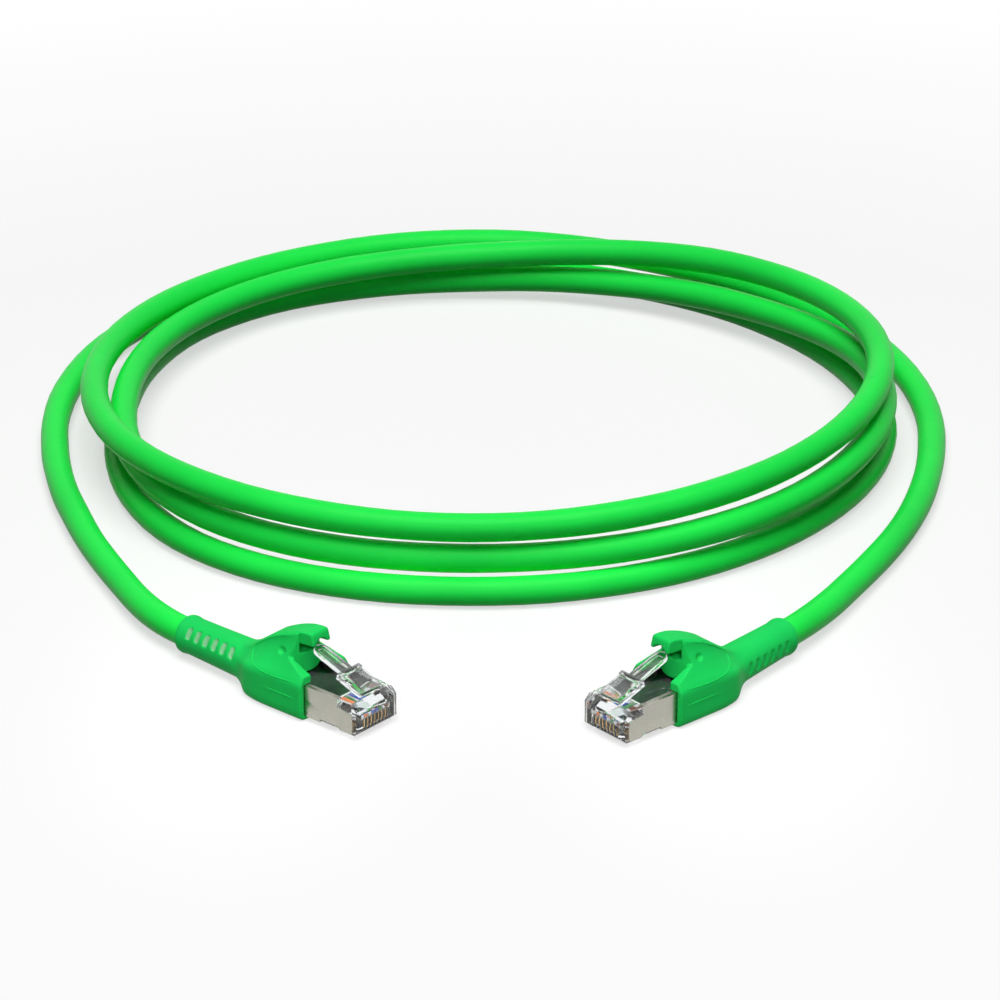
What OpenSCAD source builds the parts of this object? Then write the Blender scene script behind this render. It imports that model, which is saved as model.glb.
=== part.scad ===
// Ethernet patch cable, 8P8C plug to 8P8C plug, shielded, with snag-free boots, lying in a loose coil.
// Millimetres, +Z up. The origin is on the table, midway between the two plugs.
// A plug is built in its own frame: +X out of the boot towards the socket, X = 0 at the boot's front
// plane, Z = 0 on the table. Every plug piece is made once and placed twice.

/* [Cable] */
// Outside diameter of the cable jacket
cord_d = 6.0; // [5:0.1:6.2]
// Thickness of the jacket
jacket_wall = 0.6; // [0.4:0.05:0.7]
// Thickness of the braided screen
braid_t = 0.1; // [0.05:0.01:0.12]
// Diameter of one pair in its foil
foil_d = 1.76; // [1.4:0.02:1.78]
// Diameter of one insulated conductor
wire_d = 0.82; // [0.7:0.02:0.84]

/* [Plug] */
// Width over the shield
plug_w = 11.68; // [11.5:0.01:11.8]
// Height of the body without its latch
plug_h = 6.6; // [6.4:0.05:6.8]
// Length of the moulded body
plug_l = 21.6; // [20:0.1:23]
// Length that stands out of the boot
nose_l = 13.6; // [12:0.1:14]
// Pitch of the eight contacts
pin_pitch = 1.02; // [1:0.01:1.04]
// Thickness of one contact blade
pin_t = 0.35; // [0.25:0.05:0.4]
// Length of a contact blade
pin_l = 4.4; // [3:0.1:5]
// Height of a contact blade
pin_h = 2.7; // [2.2:0.1:2.8]
// Length of the wire guide
guide_l = 7.4; // [6:0.1:8]
// Chamfer along the top front edge
nose_chamfer = 1.4; // [0.6:0.1:2]

/* [Shield] */
// Thickness of the shield's sheet
shield_t = 0.25; // [0.2:0.05:0.35]
// How far the upper part of the shield's side stands out of the boot
shield_upper = 8.6; // [6:0.1:10]
// How far the lower part of the shield's side stands out of the boot
shield_lower = 12.4; // [10.5:0.1:12.6]
// Width of the flange folded over the top edge
shield_flange = 1.3; // [0.8:0.1:2]
// Length of the crimp collar
collar_l = 3.4; // [2.5:0.1:4]

/* [Latch] */
// Width of the wide part, which the socket holds
latch_w = 6.2; // [5.8:0.1:6.4]
// Width of the lever behind it
lever_w = 3.2; // [2.8:0.1:3.6]
// Thickness of the latch
latch_t = 1.0; // [0.8:0.05:1.3]
// Distance of the latch's root from the plug's front face
latch_root = 1.6; // [1.2:0.1:2.5]
// Length of the wide part from the root
latch_pad_l = 6.4; // [5:0.1:7.5]
// Length of the whole latch from the root
latch_l = 15.0; // [13:0.1:15.4]
// Slope of the latch above the plug
latch_slope = 19; // [16:0.5:20]

/* [Boot] */
// Width of the boot's body
boot_w = 14.4; // [13.8:0.1:16]
// Thickness of the boot's floor under the plug
boot_floor = 1.0; // [0.6:0.1:1.4]
// Height of the boot's straight sides
boot_side_h = 8.8; // [8.5:0.1:10]
// Width of the press tab in the hood's crown
tab_w = 5.0; // [4.8:0.1:5.2]
// Thickness of the press tab
tab_t = 1.4; // [1.2:0.1:1.5]
// Height of the skirts on both sides of the tab's front
lip_h = 2.6; // [2:0.1:2.8]
// Gap between the latch's tip and the press tab over it
lip_gap = 1.85; // [1.4:0.05:2.2]
// Width of the opening that the latch dips into
latch_room = 7.8; // [7:0.1:8.4]
// Length of the boot's body, from its front plane to the neck
boot_l = 17.0; // [16.6:0.1:19]
// Length of the neck
neck_l = 21.0; // [15:0.5:26]
// Neck diameter at the body
neck_front_d = 8.5; // [8:0.1:8.6]
// Neck diameter at its open end
neck_rear_d = 7.6; // [7.4:0.1:8.4]
// Number of grooves on each flank of the neck
groove_n = 6; // [3:1:8]
// Width of one groove
groove_w = 0.9; // [0.5:0.1:1.2]
// Depth of one groove
groove_deep = 0.5; // [0.3:0.1:0.6]

/* [Motion] */
// Travel of the latch, in degrees
latch_travel = 10; // [5:1:11]

/* [Hidden] */
$fn = 48;

// Clearances
fit = 0.1;       // round and between fixed pieces that slide together
slip = 0.3;      // beside pieces that move
cut = 0.5;       // how far a cut runs past a face

// Where the plugs lie, which way they point, and how far each neck is bent aside and rolled
seat_a = [-31.65, -5.25];
yaw_a = -41;
bend_a = -2;
roll_a = 35;
seat_b = [33.25, -8.35];
yaw_b = 221.3;
bend_b = 9;
roll_b = 0;

// Heights in the plug
plug_z = boot_floor;
plug_top = plug_z + plug_h;
axis_z = plug_z + plug_h / 2;
wire_z = plug_z + pin_h + 0.3 + wire_d / 2;
rear_x = nose_l - plug_l;
cord_r = cord_d / 2;

// ---------------------------------------------------------------- placing

module at_a() {
    translate([seat_a.x, seat_a.y, 0])
        rotate([0, 0, yaw_a])
            children();
}

module at_b() {
    translate([seat_b.x, seat_b.y, 0])
        rotate([0, 0, yaw_b])
            children();
}

// A box from its lowest and highest corners
module span(low, high) {
    translate(low)
        cube(high - low);
}

// A cylinder along +X from x0 to x1
module rod(d, x0, x1, y = 0, z = axis_z) {
    translate([x0, y, z])
        rotate([0, 90, 0])
            cylinder(d = d, h = x1 - x0);
}

// A plate with its outline in X and Z, centred on Y = 0
module side_plate(outline, width) {
    translate([0, width / 2, 0])
        rotate([90, 0, 0])
            linear_extrude(width)
                polygon(outline);
}

// ---------------------------------------------------------------- the cord's route

// The coil: how far its centre line reaches from the coil's centre, and how high it lies, at each
// eighth of a turn from the left, through the back, round three and a half times.
coil_centre = [1.7, 125.5];
coil_reach = [
    96, 97, 87.1, 83.5, 84.5, 82.4, 83.5, 87.6,
    81.9, 86.1, 78.3, 78.8, 84, 83.5, 79.2, 85.3,
    80.4, 81.4, 76.7, 81.4, 83.5, 80.9, 79.3, 86.1,
    87.1, 88.2, 87.6, 93.9, 94.9
];
coil_lift = [
    3, 3, 3, 3, 3, 3, 3, 3,
    3, 3, 4.6, 7.5, 11.8, 10.8, 8.4, 9.5,
    10, 8.9, 11.2, 15.6, 18.9, 17.6, 15.4, 16.6,
    13.5, 10.6, 9.8, 4.8, 3
];
coil_end_u = len(coil_reach) - 1;
rings_per_eighth = 3;
coil_sides = 6;
tail_sides = 8;

// Value of a list between its keys, by a smooth curve through them
function key(v, i) =
    i < 0 ? 2 * v[0] - v[1] :
    i >= len(v) ? 2 * v[len(v) - 1] - v[len(v) - 2] :
    v[i];
function smooth(a, b, c, d, t) =
    (2 * b + (c - a) * t + (2 * a - 5 * b + 4 * c - d) * t * t
        + (3 * b - a - 3 * c + d) * t * t * t) / 2;
function along(v, u) =
    let (i = min(floor(u), len(v) - 2))
        smooth(key(v, i - 1), key(v, i), key(v, i + 1), key(v, i + 2), u - i);
function coil_point(u) =
    let (reach = along(coil_reach, u), turn = 45 * u)
        [coil_centre.x - reach * cos(turn), coil_centre.y + reach * sin(turn),
            max(cord_r, along(coil_lift, u))];

coil_start = coil_point(0);
coil_end = coil_point(coil_end_u);
coil_steps = coil_end_u * rings_per_eighth;
coil_path = concat(
    [coil_start - [0, cord_d, 0]],
    [for (i = [0:coil_steps]) coil_point(i / rings_per_eighth)],
    [coil_end - [0, cord_d, 0]]
);

// The mouth of a boot, where the cable comes out, and the direction of the cable there
neck_x = -boot_l;
function on_plug(seat, yaw, x) = [seat.x + x * cos(yaw), seat.y + x * sin(yaw)];
function neck_dir(yaw, bend) = [-cos(yaw + bend), -sin(yaw + bend)];
function on_neck(seat, yaw, bend, out) =
    let (p = on_plug(seat, yaw, neck_x) + out * neck_dir(yaw, bend))
        [p.x, p.y, axis_z];

// The free stretches between the coil and the boots
tail_a_path = [
    coil_path[0],
    [-93.5, 113.5, cord_r],
    [-92.3, 103.5, cord_r],
    [-89.8, 90.5, cord_r],
    [-86.8, 79.5, cord_r],
    [-82.8, 66.5, cord_r],
    [-78.3, 54.5, cord_r + 0.1],
    [-73.3, 42.5, 3.3],
    [-68.3, 32.5, 3.8],
    on_neck(seat_a, yaw_a, bend_a, neck_l + cord_d),
    on_neck(seat_a, yaw_a, bend_a, neck_l)
];
tail_b_path = [
    coil_path[len(coil_path) - 1],
    [96, 113.5, cord_r],
    [94.7, 102.5, cord_r],
    [92.2, 89.5, cord_r],
    [88.7, 77, cord_r],
    [84.2, 65, cord_r],
    [78.7, 53, cord_r + 0.1],
    [72.7, 41, 3.3],
    [67.7, 32, 3.8],
    on_neck(seat_b, yaw_b, bend_b, neck_l + cord_d),
    on_neck(seat_b, yaw_b, bend_b, neck_l)
];

function unit(v) = v / norm(v);
function path_dir(path, i) =
    i == 0 ? unit(path[1] - path[0]) :
    i == len(path) - 1 ? unit(path[i] - path[i - 1]) :
    unit(unit(path[i + 1] - path[i]) + unit(path[i] - path[i - 1]));
function ring(centre, dir, r, sides) =
    let (across = unit(cross(dir, [0, 0, 1])), upward = cross(across, dir))
        [for (k = [0:sides - 1])
            let (a = -90 + 360 * k / sides)
                centre + r * (cos(a) * across + sin(a) * upward)];

// A closed tube of triangles along a path
module tube(path, d, sides) {
    n = len(path);
    points = [for (i = [0:n - 1]) each ring(path[i], path_dir(path, i), d / 2, sides)];
    walls = [
        for (i = [0:n - 2], k = [0:sides - 1])
            let (a = i * sides + k, b = i * sides + (k + 1) % sides)
                each [[a, b, b + sides], [a, b + sides, a + sides]]
    ];
    last = (n - 1) * sides;
    caps = [for (k = [1:sides - 2]) each [[0, k + 1, k], [last, last + k, last + k + 1]]];
    polyhedron(points = points, faces = concat(walls, caps));
}

// Least gap of the coil to itself, on centre points half a ring apart, past the next turn's near side
gap_steps = 6;
gap_skip = 5 * gap_steps;
gap_points = [for (i = [0:coil_end_u * gap_steps]) coil_point(i / gap_steps)];
coil_gap = min([
    for (i = [0:len(gap_points) - 1 - gap_skip])
        min([for (j = [i + gap_skip:len(gap_points) - 1]) norm(gap_points[i] - gap_points[j])])
]) - cord_d;
function path_length(path, i = 0) =
    i >= len(path) - 1 ? 0 : norm(path[i + 1] - path[i]) + path_length(path, i + 1);
echo(coil_least_gap = coil_gap);
echo(coil_length = path_length(coil_path));
echo(tail_lengths = [path_length(tail_a_path), path_length(tail_b_path)]);

module cable_coil() {
    color([0.13, 0.94, 0.29])
        tube(coil_path, cord_d, coil_sides);
}

module cable_tail(path) {
    color([0.13, 0.94, 0.29])
        tube(path, cord_d, tail_sides);
}

// ---------------------------------------------------------------- plug body

clear = [0.86, 0.9, 0.92, 0.5];
body_w = plug_w - 2 * shield_t;
slot_w = pin_t + fit;
slot_l = pin_l + 0.9;
pin_x1 = nose_l - 0.6;
pin_x0 = pin_x1 - pin_l;
guide_x1 = pin_x0 - 1;
guide_x0 = guide_x1 - guide_l;
cavity_w = 8 * pin_pitch + 1.3;
cavity_h = plug_h - 2;
foil_x = rear_x + 1.4;
channel_h = wire_d + fit;
catch_x = nose_l - latch_root;

function pin_y(i) = (i - 3.5) * pin_pitch;

// Outline of the shield's side in X and Z, with a step at its upper front and a slot in its lower edge
step_z = plug_z + 0.73 * plug_h;
slot_x0 = 4.0;
slot_x1 = 9.0;
slot_h = 0.6;
shield_side = [
    [rear_x, plug_z], [slot_x0, plug_z], [slot_x0, plug_z + slot_h], [slot_x1, plug_z + slot_h],
    [slot_x1, plug_z], [shield_lower, plug_z], [shield_lower, step_z - 0.5],
    [shield_upper, step_z], [shield_upper, plug_top], [rear_x, plug_top]
];
// The same outline without the slot, grown by a clearance, which the body is cut back to
shield_bed = [
    [rear_x - cut, plug_z - cut], [shield_lower + fit, plug_z - cut],
    [shield_lower + fit, step_z - 0.5 + fit], [shield_upper + fit, step_z + fit],
    [shield_upper + fit, plug_top + cut], [rear_x - cut, plug_top + cut]
];

module housing() {
    color(clear)
        difference() {
            side_plate([
                [rear_x, plug_z + shield_t], [nose_l - 0.5, plug_z], [nose_l, plug_z + 0.5],
                [nose_l, plug_top - nose_chamfer], [nose_l - nose_chamfer, plug_top],
                [rear_x, plug_top - shield_t]
            ], plug_w);
            // the shield lies in a bed on each side
            for (s = [-1, 1])
                translate([0, s * (body_w / 2 + plug_w), 0])
                    side_plate(shield_bed, 2 * plug_w);
            span([rear_x - cut, -plug_w, plug_top - shield_t], [shield_upper + fit, plug_w, plug_top + cut]);
            span([rear_x - cut, -plug_w, plug_z - cut], [shield_upper + fit, plug_w, plug_z + shield_t]);
            // rear cavity for the guide and the pairs
            span([rear_x - cut, -cavity_w / 2, plug_z + 1], [guide_x1 + fit, cavity_w / 2, plug_z + 1 + cavity_h]);
            // flat channel for the ends of the eight wires
            span([guide_x1, -4 * pin_pitch, wire_z - channel_h / 2],
                [pin_x1 + fit, 4 * pin_pitch, wire_z + channel_h / 2]);
            // slots for the contacts, open below and in front
            for (i = [0:7])
                span([pin_x1 + fit - slot_l, pin_y(i) - slot_w / 2, plug_z - cut],
                    [nose_l + cut, pin_y(i) + slot_w / 2, plug_z + pin_h + 0.3]);
        }
}

module contacts() {
    color("gold")
        for (i = [0:7])
            side_plate_at(pin_y(i), [
                [pin_x0, plug_z + 0.3], [pin_x1 - 0.8, plug_z + 0.3], [pin_x1, plug_z + 1.1],
                [pin_x1, plug_z + pin_h + 0.3], [pin_x0, plug_z + pin_h + 0.3]
            ], pin_t);
}

module side_plate_at(y, outline, width) {
    translate([0, y, 0])
        side_plate(outline, width);
}

module wire_guide() {
    guide_w = cavity_w - 2 * fit;
    guide_top = plug_z + 1 + cavity_h - fit;
    color([0.05, 0.05, 0.05])
        difference() {
            union() {
                span([guide_x0, -guide_w / 2, plug_z + 1 + fit], [guide_x1, guide_w / 2, guide_top]);
                // cover over the wires behind it
                span([foil_x + 0.2, -guide_w / 2, guide_top - 0.35], [guide_x0 + 0.1, guide_w / 2, guide_top]);
            }
            for (i = [0:7])
                rod(wire_d + fit / 2, guide_x0 - cut, guide_x1 + cut, pin_y(i), wire_z);
        }
}

// ---------------------------------------------------------------- wires and screens

jacket_bore = cord_d - 2 * jacket_wall;
jacket_x = rear_x - 1.2;
pair_r = (foil_d + 0.02) / sqrt(2);
pair_gap = 0.2;

// Each pair: contact numbers from 0, and the side of the cable that it comes out of, in Y and Z
pairs = [
    ["orange", [0, 1], [-1, 0]],
    ["green", [2, 5], [0, 1]],
    ["blue", [3, 4], [0, -1]],
    ["brown", [6, 7], [1, 0]]
];

// A straight rod between two points, with a ball just proud of it at its first
module link(a, b, d) {
    v = b - a;
    translate(a)
        rotate([0, acos(v.z / norm(v)), atan2(v.y, v.x)])
            cylinder(d = d, h = norm(v));
    translate(a)
        sphere(d = 1.06 * d);
}

// Both conductors of one pair: side by side at the foil, then out to their contacts
module wires(pair) {
    side = pairs[pair][2];
    for (k = [0, 1]) {
        i = pairs[pair][1][k];
        y_foil = side.x * pair_r + (k - 0.5) * (wire_d + pair_gap);
        z_foil = axis_z + side.y * pair_r;
        bend = [guide_x0 - 0.6, pin_y(i), wire_z];
        rod(wire_d, bend.x, pin_x1, bend.y, bend.z);
        link(bend, [foil_x, y_foil, z_foil], wire_d);
    }
}

module pair_foils() {
    color("lightgray")
        for (c = pairs)
            rod(foil_d, neck_x + 0.6, foil_x - 0.2, c[2].x * pair_r, axis_z + c[2].y * pair_r);
}

module braid() {
    color("silver")
        difference() {
            rod(jacket_bore - 0.04, neck_x + 0.6, jacket_x + 0.6);
            rod(jacket_bore - 0.04 - 2 * braid_t, neck_x, jacket_x + 2);
        }
}

// The braid's end, folded back over the jacket under the crimp collar
fold_d = cord_d + 0.5;
fold_x0 = jacket_x - collar_l - 0.8;

module braid_fold() {
    color("silver")
        difference() {
            rod(fold_d, fold_x0, jacket_x - 0.1);
            rod(cord_d + 0.04, fold_x0 - cut, jacket_x + cut);
        }
}

// How much thinner the jacket is where the neck squeezes it
squeeze = 0.15;

// The last of the jacket, from the plug to the boot's mouth, where the free cable goes on
module jacket_end(bend) {
    color([0.13, 0.94, 0.29])
        difference() {
            union() {
                rod(cord_d, neck_x, jacket_x);
                translate([neck_x, 0, axis_z])
                    rotate([0, 0, bend])
                        translate([0.5, 0, 0])
                            rotate([0, -90, 0])
                                cylinder(d = cord_d - squeeze, h = neck_l + 0.5);
            }
            rod(jacket_bore, neck_x + 0.6, jacket_x + cut);
        }
}

// ---------------------------------------------------------------- shield

collar_d = fold_d + 2 * shield_t + 0.08;
collar_x1 = jacket_x - 0.3;
tongue_w = 4;

module shield() {
    color([0.72, 0.71, 0.66])
        difference() {
            union() {
                for (s = [-1, 1]) {
                    translate([0, s * (plug_w - shield_t) / 2, 0])
                        side_plate(shield_side, shield_t);
                    // flange folded over the body's top edge
                    span([rear_x, s > 0 ? plug_w / 2 - shield_flange : -plug_w / 2, plug_top - shield_t],
                        [shield_upper, s > 0 ? plug_w / 2 : shield_flange - plug_w / 2, plug_top]);
                }
                // floor of the shield, behind the slot
                span([rear_x, -plug_w / 2, plug_z], [slot_x0, plug_w / 2, plug_z + shield_t]);
                // rear wall, with its tongue and crimp collar
                span([rear_x - shield_t, -plug_w / 2, plug_z], [rear_x, plug_w / 2, plug_top]);
                rod(collar_d, collar_x1 - collar_l, collar_x1);
                span([collar_x1 - 0.5, -tongue_w / 2, axis_z - collar_d / 2],
                    [rear_x, tongue_w / 2, axis_z - collar_d / 2 + shield_t + 0.3]);
            }
            rod(fold_d + 0.08, collar_x1 - collar_l - cut, rear_x + 0.1);
        }
}

// ---------------------------------------------------------------- latch

// The latch in its own plane: it lies along -X from its root and is turned up by latch_slope
hinge_z = plug_top + latch_t / 2 + 0.3;
hinge = [catch_x, 0, hinge_z];
tip_x = catch_x - latch_l * cos(latch_slope);
tip_z = hinge_z + latch_l * sin(latch_slope) + latch_t / 2;
rib_w = 0.7;
rib_h = 0.5;

module latch() {
    color(clear)
        translate(hinge)
            rotate([0, latch_slope, 0])
                difference() {
                    union() {
                        // hinge barrel at the root
                        translate([0, latch_w / 2, 0])
                            rotate([90, 0, 0])
                                cylinder(d = latch_t, h = latch_w);
                        span([-latch_pad_l, -latch_w / 2, -latch_t / 2], [0, latch_w / 2, latch_t / 2]);
                        // shoulder bar that the socket holds
                        span([-latch_pad_l, -latch_w / 2, latch_t / 2], [1.1 - latch_pad_l, latch_w / 2, latch_t / 2 + 0.5]);
                        // lever with a rounded tip
                        span([lever_w / 2 - latch_l, -lever_w / 2, -latch_t / 2], [-latch_pad_l, lever_w / 2, latch_t / 2]);
                        translate([lever_w / 2 - latch_l, 0, -latch_t / 2])
                            cylinder(d = lever_w, h = latch_t);
                    }
                    // trough along the lever, which leaves a rib on each edge
                    span([1.2 - latch_l, rib_w - lever_w / 2, latch_t / 2 - rib_h],
                        [-latch_pad_l - 0.4, lever_w / 2 - rib_w, latch_t]);
                }
}

// ---------------------------------------------------------------- boot

// Crown line of the hood and the press tab, in X and Z, from the neck to the front
hood_l = 15;
hood_h = hinge_z + latch_l * sin(latch_slope) + latch_t / 2 * cos(latch_slope) + lip_gap + tab_t;
crown = [
    [-hood_l - 1.6, neck_front_d + 1.4], [-hood_l + 0.6, hood_h - 5.2], [-11.4, hood_h - 3.1],
    [-8.8, hood_h - 1.8], [-6.2, hood_h - 0.9], [-2.8, hood_h], [-1.4, hood_h]
];
lip_x = -0.5;
tab_hinge = [-hood_l + 0.4, 0, hood_h - 5.25 - tab_t / 2];

// Stations of the boot's body: X, half width, side height, half width of the crown, crown height,
// and how round the section is, from 0 at the plug to 1 at the neck
half_w = boot_w / 2;
half_tab = tab_w / 2 + slip;
stations = [
    [0, half_w, boot_side_h, half_w - 2.4, boot_side_h + 1.5, 0],
    [-1.6, half_w, boot_side_h, half_tab + 1.7, boot_side_h + 2.6, 0],
    [-3.2, half_w, boot_side_h, half_tab + 0.8, hood_h - 3.4, 0],
    [-4.6, half_w, boot_side_h, half_tab + 0.5, hood_h - 0.7, 0],
    [-6.2, half_w, boot_side_h, half_tab + 0.5, hood_h - 1.2, 0],
    [-8.8, half_w, boot_side_h, half_tab + 0.5, hood_h - 2.1, 0],
    [-11.4, half_w, boot_side_h, half_tab + 0.4, hood_h - 3.4, 0],
    [0.6 - hood_l, half_w - 0.3, boot_side_h - 0.1, half_tab + 0.2, hood_h - 5.4, 0.05],
    [0.4 - boot_l, half_w - 0.9, boot_side_h - 0.2, half_tab, neck_front_d + 1.6, 0.2],
    [-boot_l - 1.8, half_w - 2, boot_side_h - 0.4, half_tab - 0.3, neck_front_d + 0.7, 0.5],
    [-boot_l - 4.4, neck_front_d / 2, boot_side_h - 1, 1.8, neck_front_d, 1]
];
function round_ring(n) =
    [for (k = [0:n - 1]) let (a = -90 - 180 / n - 360 * k / n)
        [(neck_front_d / 2 - 0.5) * cos(a), axis_z + (neck_front_d / 2 - 0.5) * sin(a)]];
function house_half(s) = [
    [s[1] - 1.6, 0], [s[1] - 0.5, 0.3], [s[1], 1.3], [s[1] + 0.15, s[2] / 2], [s[1], s[2] - 0.7],
    [s[1] - 0.5, s[2] + 0.3], [(s[1] + s[3]) / 2 - 0.3, (s[2] + s[4]) / 2 - 0.4],
    [s[3] + 0.5, s[4] - 0.8], [s[3] - 0.1, s[4]]
];
function house(s) =
    let (half = house_half(s), n = len(half))
        concat([for (k = [0:n - 1]) [-half[k].x, half[k].y]], [for (k = [0:n - 1]) half[n - 1 - k]]);
function station_ring(s) =
    let (h = house(s), c = round_ring(len(h)), t = s[5])
        [for (k = [0:len(h) - 1]) [s[0], h[k].x * (1 - t) + c[k].x * t, h[k].y * (1 - t) + c[k].y * t]];

// A closed skin of triangles through rings of equal length
module loft(rings) {
    n = len(rings[0]);
    points = [for (r = rings) each r];
    walls = [
        for (i = [0:len(rings) - 2], k = [0:n - 1])
            let (a = i * n + k, b = i * n + (k + 1) % n)
                each [[a, a + n, b + n], [a, b + n, b]]
    ];
    last = (len(rings) - 1) * n;
    caps = [for (k = [1:n - 2]) each [[0, k, k + 1], [last, last + k + 1, last + k]]];
    polyhedron(points = points, faces = concat(walls, caps));
}

pocket_w = plug_w + 2 * fit;
// The web that fills the hood behind the latch's tip, with a round nose
web_w = 12.4;
web_x = -3.5 - web_w / 2;
web_top = hood_h - 4.9;
groove_step = neck_l / (groove_n + 2.5);

module neck(bend, roll) {
    translate([neck_x, 0, axis_z])
        rotate([0, 0, bend])
            rotate([0, -90, 0])
                rotate([0, 0, roll])
                difference() {
                    cylinder(d1 = neck_front_d, d2 = neck_rear_d, h = neck_l);
                    for (k = [1:groove_n], s = [-1, 1])
                        translate([-1.6, s > 0 ? neck_rear_d / 2 - groove_deep : -neck_rear_d, (k + 0.9) * groove_step])
                            cube([3.2, neck_rear_d - (neck_rear_d / 2 - groove_deep), groove_w]);
                }
}

module boot(bend, roll) {
    color([0.11, 0.8, 0.33])
        difference() {
            union() {
                loft([for (s = stations) station_ring(s)]);
                neck(bend, roll);
            }
            // pocket for the plug
            span([rear_x - shield_t - fit, -pocket_w / 2, plug_z - 0.02], [cut, pocket_w / 2, plug_top + fit]);
            // room for the crimp collar and the cable
            rod(collar_d + 2 * fit, fold_x0 - fit, rear_x);
            rod(cord_d + 2 * fit, neck_x - 0.2, rear_x - 1);
            translate([neck_x, 0, axis_z])
                rotate([0, 0, bend])
                    translate([0.6, 0, 0])
                        rotate([0, -90, 0])
                            cylinder(d = cord_d - squeeze + fit, h = neck_l + 0.6 + cut);
            // room for the tongue of the shield's collar
            span([collar_x1 - 0.5 - fit, -tongue_w / 2 - fit, axis_z - collar_d / 2 - fit],
                [rear_x, tongue_w / 2 + fit, axis_z]);
            latch_opening();
            tab_slit();
            // the flanks stop short of the latch and leave it free from above and from both sides
            difference() {
                side_plate([
                    [cut, boot_side_h + 0.6], [-0.2, boot_side_h + 0.6], [-1.6, boot_side_h + 1.1],
                    [-3, boot_side_h + 1.8], [-4.4, boot_side_h + 2.4], [-5.6, boot_side_h + 3],
                    [-6.6, boot_side_h + 3.4], [-6.6, hood_h + 2], [cut, hood_h + 2]
                ], 2 * boot_w);
                nose();
            }
        }
}

// Opening above the plug that the latch dips into, up to the web's nose
module latch_opening() {
    difference() {
        span([web_x, -latch_room / 2, plug_top - cut], [cut, latch_room / 2, web_top]);
        nose();
    }
}

// The rounded front that the web and the flanks share behind the latch
module nose() {
    translate([web_x, 0, 0])
        cylinder(d = web_w, h = hood_h + 3);
}

// Slit that the press tab moves in, with a floor that clears it when it is down
module tab_slit() {
    side_plate([
        [tab_hinge.x - 0.9, tab_hinge.z - 0.9], [-13.6, tab_hinge.z - 0.9], [-11, web_top - 0.7],
        [-8.2, web_top], [cut, web_top], [cut, hood_h + 2], [tab_hinge.x - 0.9, hood_h + 2]
    ], 2 * half_tab);
}

// A curved plate from its hinge to the lip, with a skirt on each side of its front, between which the
// latch's tip lies
module press_tab() {
    n = len(crown);
    skirt_x = -5.6;
    under = [for (k = [0:n - 4]) let (p = crown[n - 3 - k]) [p.x + 0.2, p.y - tab_t]];
    color([0.11, 0.8, 0.33])
        difference() {
            union() {
                side_plate(concat(
                    [for (k = [1:n - 1]) crown[k]],
                    [[lip_x - 0.4, hood_h - 0.5], [lip_x, hood_h - lip_h], [skirt_x + 1, hood_h - lip_h - 0.3]],
                    under
                ), tab_w);
                translate([tab_hinge.x, tab_w / 2, tab_hinge.z])
                    rotate([90, 0, 0])
                        cylinder(d = tab_t, h = tab_w);
            }
            span([skirt_x, -lever_w / 2 - slip, 0], [cut, lever_w / 2 + slip, hood_h - tab_t - 0.1]);
        }
}

// ---------------------------------------------------------------- what is drawn

cable_coil();
cable_tail(tail_a_path);  // cable_tail_a
cable_tail(tail_b_path);  // cable_tail_b

at_a() boot(bend_a, roll_a);  // boot_a
at_a() press_tab();  // press_tab_a
at_a() housing();  // housing_a
at_a() latch();  // latch_a
at_a() shield();  // shield_a
at_a() contacts();  // contacts_a
at_a() wire_guide();  // wire_guide_a
at_a() color("orange") wires(0);  // orange_wires_a
at_a() color("green") wires(1);  // green_wires_a
at_a() color("royalblue") wires(2);  // blue_wires_a
at_a() color("saddlebrown") wires(3);  // brown_wires_a
at_a() pair_foils();  // pair_foils_a
at_a() braid();  // braid_a
at_a() braid_fold();  // braid_fold_a
at_a() jacket_end(bend_a);  // jacket_end_a

at_b() boot(bend_b, roll_b);  // boot_b
at_b() press_tab();  // press_tab_b
at_b() housing();  // housing_b
at_b() latch();  // latch_b
at_b() shield();  // shield_b
at_b() contacts();  // contacts_b
at_b() wire_guide();  // wire_guide_b
at_b() color("orange") wires(0);  // orange_wires_b
at_b() color("green") wires(1);  // green_wires_b
at_b() color("royalblue") wires(2);  // blue_wires_b
at_b() color("saddlebrown") wires(3);  // brown_wires_b
at_b() pair_foils();  // pair_foils_b
at_b() braid();  // braid_b
at_b() braid_fold();  // braid_fold_b
at_b() jacket_end(bend_b);  // jacket_end_b
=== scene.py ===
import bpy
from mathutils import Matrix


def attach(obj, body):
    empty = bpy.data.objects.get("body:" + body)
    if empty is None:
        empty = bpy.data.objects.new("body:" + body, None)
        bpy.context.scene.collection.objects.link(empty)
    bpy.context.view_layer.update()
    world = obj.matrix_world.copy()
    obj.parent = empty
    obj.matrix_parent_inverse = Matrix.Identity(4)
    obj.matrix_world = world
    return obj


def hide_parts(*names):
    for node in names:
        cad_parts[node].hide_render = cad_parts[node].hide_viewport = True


bl_info = {
    "name": "Patch Cable",
    "version": (1, 0, 0),
    "blender": (4, 5, 0),
    "location": "View3D > Sidebar > Patch Cable",
    "description": "Dresses a shielded patch cable with snag-free boots, piece by piece",
    "category": "Object",
}

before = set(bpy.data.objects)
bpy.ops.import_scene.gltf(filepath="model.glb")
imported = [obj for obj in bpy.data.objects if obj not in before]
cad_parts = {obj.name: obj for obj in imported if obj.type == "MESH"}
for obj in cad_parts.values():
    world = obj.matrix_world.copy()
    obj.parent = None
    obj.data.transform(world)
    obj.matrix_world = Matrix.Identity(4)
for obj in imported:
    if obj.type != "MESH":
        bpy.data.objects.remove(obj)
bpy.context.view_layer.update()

import math

import bmesh
import bpy
from bpy.props import FloatProperty, FloatVectorProperty, IntProperty, PointerProperty
from mathutils import Matrix, Vector

MM = 0.001

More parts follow.
